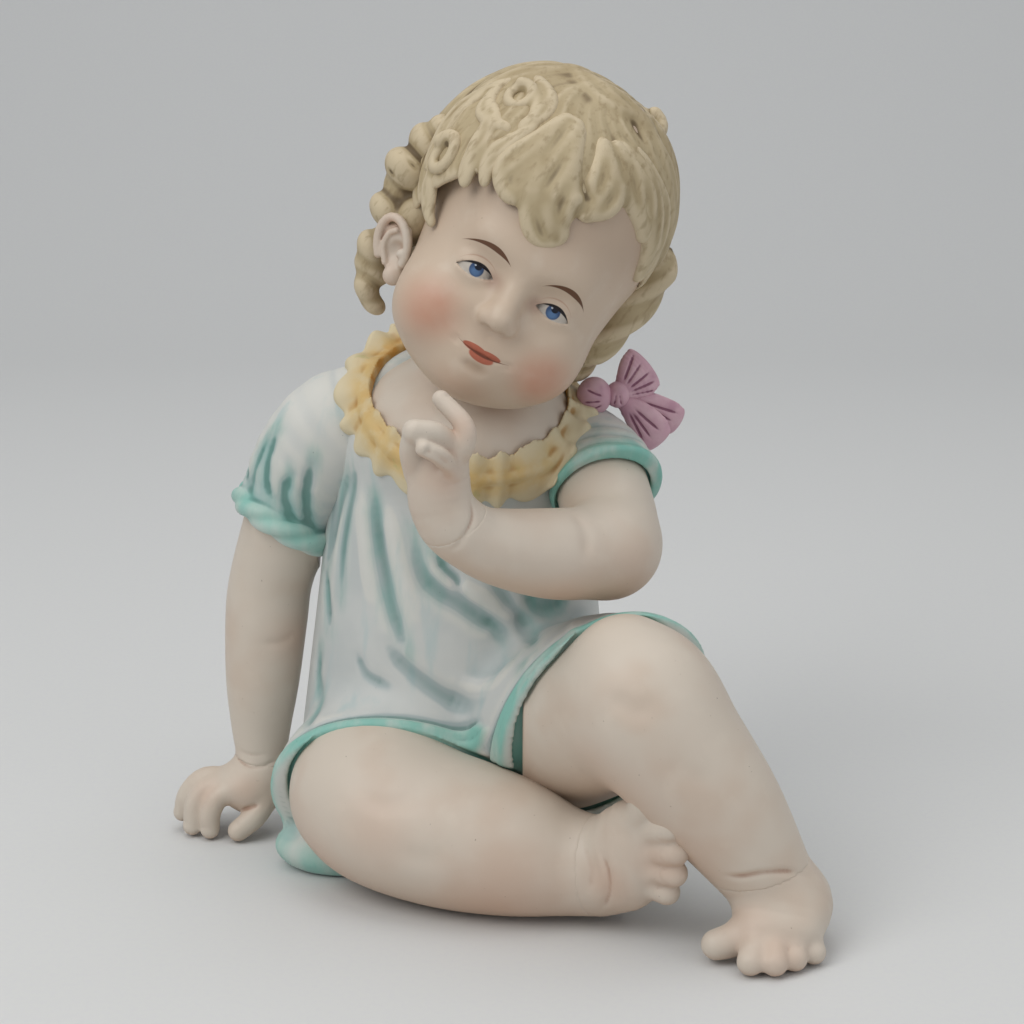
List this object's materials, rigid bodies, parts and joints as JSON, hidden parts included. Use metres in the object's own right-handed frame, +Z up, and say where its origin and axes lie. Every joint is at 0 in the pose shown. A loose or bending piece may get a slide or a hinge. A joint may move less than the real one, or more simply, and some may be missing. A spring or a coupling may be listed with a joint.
{
  "type": "bisque porcelain figurine",
  "caption": "Seated bisque porcelain toddler in a short chemise, resting on one hand, a finger raised to its chin.",
  "frame": {"origin": "on the flat seat that the figure sits on, under the middle of the body", "axes": "+Z up, the child faces -Y, its left hand side is +X"},
  "size_m": [0.2373, 0.1763, 0.2905],
  "materials": {
    "skin_bisque": "matt bisque, tinted",
    "hair_bisque": "matt bisque, painted ash blond",
    "dress_bisque": "matt bisque, teal wash",
    "collar_bisque": "matt bisque, ochre wash",
    "bow_bisque": "matt bisque, mauve"
  },
  "bodies": {
    "root": {"body_shell": "dress_bisque", "right_sleeve": "dress_bisque", "left_sleeve": "dress_bisque", "collar_ruffle": "collar_bisque", "bust": "skin_bisque", "head_shell": "skin_bisque", "right_ear": "skin_bisque", "left_ear": "skin_bisque", "right_arm": "skin_bisque", "left_arm": "skin_bisque", "right_hand": "skin_bisque", "left_hand": "skin_bisque", "right_leg": "skin_bisque", "left_leg": "skin_bisque", "right_foot": "skin_bisque", "left_foot": "skin_bisque", "hair_cap": "hair_bisque", "forehead_curls": "hair_bisque", "right_temple_curls": "hair_bisque", "right_ear_ringlets": "hair_bisque", "nape_ringlets": "hair_bisque", "left_side_ringlets": "hair_bisque", "crown_curl": "hair_bisque", "bow_knot": "bow_bisque", "bow_front_loop": "bow_bisque", "bow_back_loop": "bow_bisque", "bow_left_tail": "bow_bisque", "bow_right_tail": "bow_bisque"}
  },
  "joints": []
}
